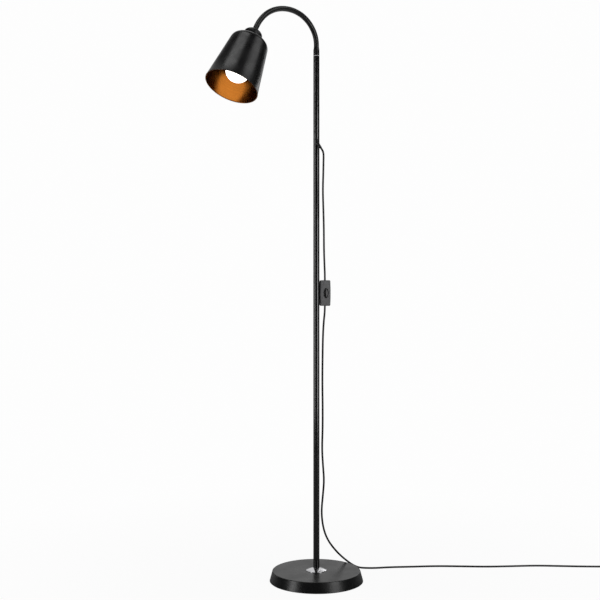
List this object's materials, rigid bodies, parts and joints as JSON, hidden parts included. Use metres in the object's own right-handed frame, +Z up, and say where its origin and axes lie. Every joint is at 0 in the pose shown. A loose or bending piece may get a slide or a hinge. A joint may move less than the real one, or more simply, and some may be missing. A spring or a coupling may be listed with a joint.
{
  "type": "floor lamp",
  "caption": "Floor-standing reading lamp: round weighted foot, slim pole, ribbed gooseneck that bends, conical shade with bulb, and an in-line rocker switch on its flex.",
  "frame": {"origin": "on the floor, under the pole's axis, at the centre of the foot's underside", "axes": "+Z up along the pole; -Y towards the front, the side that the switch faces; +X to the right, the way the flex leaves along the floor"},
  "size_m": [1.1347, 0.5614, 1.4568],
  "materials": {
    "foot_paint": "satin",
    "foot_iron": "rough",
    "zinc_steel": "satin",
    "foot_pad": "matte",
    "bright_chrome": "polished",
    "pole_paint": "gloss",
    "neck_paint": "satin",
    "shade_paint": "satin",
    "holder_black": "matte",
    "holder_ceramic": "gloss",
    "brass_contact": "satin",
    "bulb_opal": "satin",
    "bulb_white": "matte",
    "bulb_thread": "satin",
    "switch_grey": "textured",
    "flex_black": "satin",
    "plug_black": "satin",
    "tie_black": "satin"
  },
  "bodies": {
    "stand": {"base_cover": "foot_paint", "base_weight": "foot_iron", "base_plate": "zinc_steel", "base_pad": "foot_pad", "foot_washer": "zinc_steel", "foot_nut": "zinc_steel", "foot_stud": "zinc_steel", "pole_collar": "bright_chrome", "pole_lower": "pole_paint", "pole_middle": "pole_paint", "pole_upper": "pole_paint", "pole_inserts": "zinc_steel", "pole_couplers": "zinc_steel", "cord_bushing": "flex_black", "pole_flex": "flex_black", "neck_ring": "bright_chrome", "neck_ferrule": "neck_paint", "switch_back": "switch_grey", "switch_front": "switch_grey", "switch_screws": "zinc_steel", "switch_clamps": "switch_grey", "switch_blades": "brass_contact", "cord_upper": "flex_black", "cord_lower": "flex_black", "cord_coil": "flex_black", "coil_tie": "tie_black", "cord_tail": "flex_black", "plug_strain_relief": "flex_black", "plug_body": "plug_black", "plug_pins": "bright_chrome"},
    "neck_1": {"neck_link_1": "neck_paint"},
    "neck_2": {"neck_link_2": "neck_paint"},
    "neck_3": {"neck_link_3": "neck_paint"},
    "neck_4": {"neck_link_4": "neck_paint"},
    "neck_5": {"neck_link_5": "neck_paint"},
    "neck_6": {"neck_link_6": "neck_paint"},
    "neck_7": {"neck_link_7": "neck_paint"},
    "neck_8": {"neck_link_8": "neck_paint"},
    "head": {"neck_tip": "neck_paint", "shade_cap": "shade_paint", "shade": "shade_paint", "shade_nut": "zinc_steel", "lampholder_skirt": "holder_black", "lampholder_core": "holder_ceramic", "lampholder_screw_shell": "brass_contact", "lampholder_contact": "brass_contact", "bulb_eyelet": "brass_contact", "bulb_screw_cap": "bulb_thread", "bulb_housing": "bulb_white", "bulb_globe": "bulb_opal"},
    "rocker": {"switch_rocker": "switch_grey"}
  },
  "joints": [
    {"name": "neck_bend_1", "type": "hinge", "parent": "stand", "child": "neck_1", "pos_m": [0, 0, 1.3785], "axis": [0.7278, -0.6858, 0], "range_deg": [-15, 6]},
    {"name": "neck_sway_1", "type": "hinge", "parent": "neck_1", "child": "neck_2", "pos_m": [-0.00694, -0.00736, 1.41158], "axis": [0.5686, 0.6034, 0.5592], "range_deg": [-12, 12]},
    {"name": "neck_bend_2", "type": "hinge", "parent": "neck_2", "child": "neck_3", "pos_m": [-0.02439, -0.02588, 1.43531], "axis": [0.7278, -0.6858, 0], "range_deg": [-15, 6]},
    {"name": "neck_sway_2", "type": "hinge", "parent": "neck_3", "child": "neck_4", "pos_m": [-0.04686, -0.04973, 1.4474], "axis": [0.125, 0.1326, 0.9833], "range_deg": [-12, 12]},
    {"name": "neck_bend_3", "type": "hinge", "parent": "neck_4", "child": "neck_5", "pos_m": [-0.07083, -0.07517, 1.44938], "axis": [0.7278, -0.6858, 0], "range_deg": [-15, 6]},
    {"name": "neck_sway_3", "type": "hinge", "parent": "neck_5", "child": "neck_6", "pos_m": [-0.09448, -0.10025, 1.44315], "axis": [-0.1948, -0.2067, 0.9588], "range_deg": [-12, 12]},
    {"name": "neck_bend_4", "type": "hinge", "parent": "neck_6", "child": "neck_7", "pos_m": [-0.1165, -0.12362, 1.42919], "axis": [0.7278, -0.6858, 0], "range_deg": [-15, 6]},
    {"name": "neck_sway_4", "type": "hinge", "parent": "neck_7", "child": "neck_8", "pos_m": [-0.13528, -0.14355, 1.40741], "axis": [-0.4975, -0.5279, 0.6884], "range_deg": [-12, 12]},
    {"name": "neck_bend_5", "type": "hinge", "parent": "neck_8", "child": "head", "pos_m": [-0.14921, -0.15834, 1.37893], "axis": [0.7278, -0.6858, 0], "range_deg": [-15, 6]},
    {"name": "switch_rock", "type": "hinge", "parent": "stand", "child": "rocker", "pos_m": [0.02377, -0.00403, 0.7405], "axis": [0.9563, 0.2924, 0], "range_deg": [0, 12]}
  ],
  "couplings": [
    {"joint": "neck_bend_2", "follows": "neck_bend_1", "ratio": 1},
    {"joint": "neck_sway_2", "follows": "neck_sway_1", "ratio": 1},
    {"joint": "neck_bend_3", "follows": "neck_bend_1", "ratio": 1},
    {"joint": "neck_sway_3", "follows": "neck_sway_1", "ratio": 1},
    {"joint": "neck_bend_4", "follows": "neck_bend_1", "ratio": 1},
    {"joint": "neck_sway_4", "follows": "neck_sway_1", "ratio": 1},
    {"joint": "neck_bend_5", "follows": "neck_bend_1", "ratio": 1}
  ]
}
